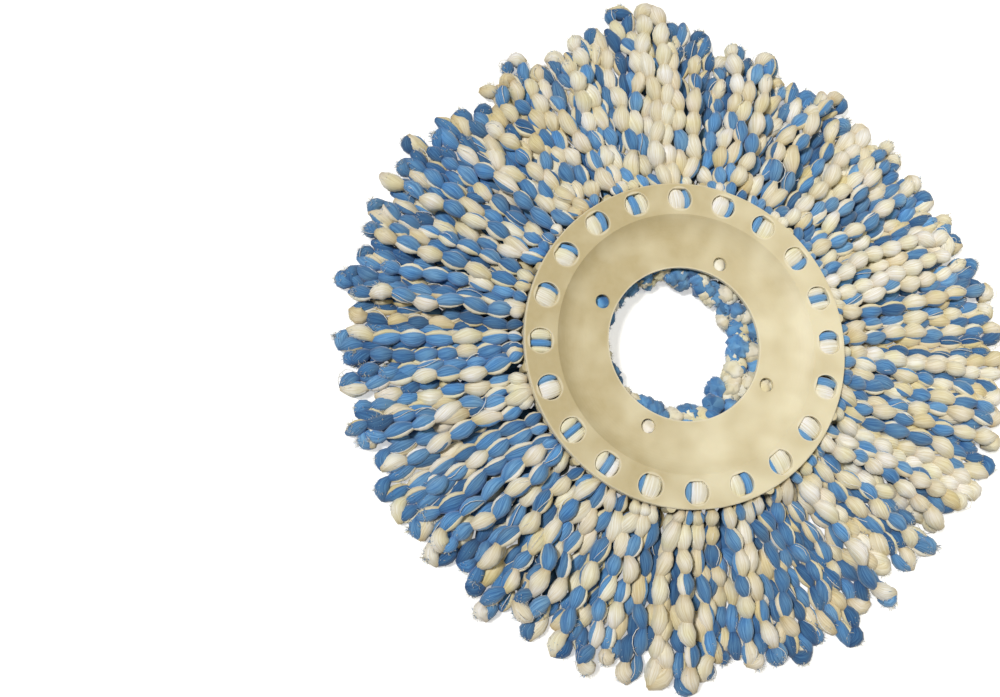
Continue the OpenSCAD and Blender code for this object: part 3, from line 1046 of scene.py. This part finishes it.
def filament_copies(heap, roots, outward, colours, spread):
    count = len(roots)
    way = unit(outward + rng.normal(0, spread, (count, 3)))
    bow = unit(rng.normal(0, 1, (count, 3)))
    run = rng.uniform(0.4, 1.0, (count, 1)) * FILAMENT_LENGTH
    last = roots + way * run
    middle = (roots + last) / 2 + bow * run * 0.18
    for points in (middle, last):
        points[:, 2] = np.maximum(points[:, 2], 0.3)
    placed = bend_copies(FILAMENT, roots, middle, last, np.full((count, 2), FILAMENT_RADIUS))
    heap.add(FILAMENT, placed, colours, rng.uniform(0.5, 1, count), rng.uniform(0, 9, (count, 2)), pinch=0)


fuzz_heaps = [Heap() for _ in range(TUFTS)]
for s in strands:
    radius = radius_of(s.centres)
    chosen = rng.choice(np.nonzero(radius > radius.max() - FRAYED_RUN)[0], FILAMENTS_PER_STRAND)
    outward = unit(s.centres[chosen] * [1, 1, 0] / radius[chosen, None])
    sideways = unit(outward + rng.normal(0, 0.6, (FILAMENTS_PER_STRAND, 3)))
    depth = s.sizes[2 * chosen + 1, None] * rng.uniform(0.75, 0.95, (FILAMENTS_PER_STRAND, 1))
    roots = s.centres[chosen] + sideways * depth
    roots[:, 2] = np.maximum(roots[:, 2], 0.5)
    blue = (rng.random(FILAMENTS_PER_STRAND) < 0.3) * (s.kind == "mixed") * 1.0
    filament_copies(fuzz_heaps[s.tuft], roots, sideways, blue, 0.6)
heaps_to_pieces("loose_filaments", fuzz_heaps, YARN)

lumps = np.repeat(np.array(lumps), FILAMENTS_PER_LUMP, axis=0)
outward = unit(rng.normal(0, 1, (len(lumps), 3)) * [1, 1, 0.5])
fluff_fuzz = Heap()
filament_copies(fluff_fuzz, lumps[:, :3] + outward * lumps[:, 3:4] * 0.6, outward, lumps[:, 4], 0.7)
heap_to_piece("burst_end_filaments", fluff_fuzz, YARN)
print("filament faces on the burst ends:", fluff_fuzz.faces())

# %% [markdown]
# The ring is natural polypropylene, moulded thin: the colour of wax, a little see-through, and cloudy where
# light and yarn shine through from below. Its edges catch more light, so a fine pale line round the rim, the
# opening and each window is painted on as a highlight. Painting it would need a UV map of the moulding, so it
# is a group that measures how far a point is from the rim, the opening and the nearest window.

# %% The painted highlight on a moulding's edges
WINDOW_EDGE_R = 5.9


def edge_highlight_group():
    group, tree, given, put_out = new_group("painted_edge_highlight", ("Edge Width",), "Edge")
    maths = tree.maths
    split = tree.add("SeparateXYZ", {"Vector": tree.place()})
    x, y = split.outputs["X"], split.outputs["Y"]

    def length(a, b):
        return maths("SQRT", maths("ADD", maths("MULTIPLY", a, a), maths("MULTIPLY", b, b)))

    radius = length(x, y)
    turn = maths("DIVIDE", maths("ARCTAN2", y, x), PITCH)
    off_window = maths("SUBTRACT", turn, maths("ROUND", turn))
    sideways = maths("MULTIPLY", maths("MULTIPLY", off_window, PITCH), radius)
    from_window = length(sideways, maths("SUBTRACT", radius, WINDOW_R * MM))
    edge = 0.0
    for value, at in ((radius, RIM_R), (radius, BORE_R), (from_window, WINDOW_EDGE_R)):
        away = maths("ABSOLUTE", maths("SUBTRACT", value, at * MM))
        near = maths("SUBTRACT", 1.0, maths("DIVIDE", away, given.outputs["Edge Width"]))
        edge = maths("MAXIMUM", near, edge)
    tree.fill(put_out, {"Edge": edge})
    return group


PAINTED_EDGE_HIGHLIGHT = edge_highlight_group()
print("a group that puts out 1 on an edge and 0 away from it")

# %% [markdown]
# The cloudiness is noise on Object coordinates, with painted light that makes it paler towards the lower right.
# A finer noise gives the surface its grain, and a little subsurface light makes the plastic look thin. Both
# rings have the same material in two tones, the deeper one a painted shade for the clamp ring, which lies in
# the shade under the dished ring, with shaded yarn behind its hooks.

# %% The ring's material
def ring_material(name, shade_low, shade_high):
    material, tree, shader = new_material(name)
    # Painted light: the clouds are pushed paler towards the lower right of the ring.
    lean = tree.add("VectorMath", {0: tree.place(), 1: (6.0, -3.0, 0)}, operation="DOT_PRODUCT")
    noise = tree.remap(tree.noise(55, 1.5), 0.3, 0.7)
    clouds = tree.maths("ADD", tree.maths("MULTIPLY", noise, 0.8), lean.outputs["Value"])
    fine = tree.remap(tree.noise(260, 3.0), 0.3, 0.7)
    base = tree.mix(clouds, shade_low, shade_high)
    grained = tree.mix(tree.maths("MULTIPLY", fine, 0.16), base, (0.78, 0.70, 0.50))
    edges = tree.add("Group", {"Edge Width": 0.0009}, node_tree=PAINTED_EDGE_HIGHLIGHT)
    # Painted highlight: a fine pale line along the rim, the opening and each window's edge.
    with_painted_highlight = tree.mix(tree.maths("MULTIPLY", edges.outputs["Edge"], 0.6), grained, (0.92, 0.86, 0.70))
    tree.fill(shader, {"Base Color": with_painted_highlight, "Normal": tree.bump(fine, 0.15),
                       "Roughness": tree.remap(clouds, 0, 1, 0.38, 0.5), "Specular IOR Level": 0.35,
                       "Subsurface Weight": 0.12, "Subsurface Radius": (1.0, 0.8, 0.5), "Subsurface Scale": 0.003})
    return material


# The clamp ring's deeper tones are painted shade, for a ring that lies in the shade under the dished ring and the
# yarn.
RING_TONES_WITH_PAINTED_SHADE = {"top": ((0.575, 0.485, 0.28), (0.83, 0.765, 0.555)), "clamp": ((0.53, 0.45, 0.27), (0.64, 0.57, 0.38))}
for ring, tones in RING_TONES_WITH_PAINTED_SHADE.items():
    mesh = frame["nodes"][f"{ring}_ring"].data
    mesh.materials.clear()
    mesh.materials.append(ring_material(f"natural_polypropylene_{ring}", *tones))
print("both rings dressed")

# %% [markdown]
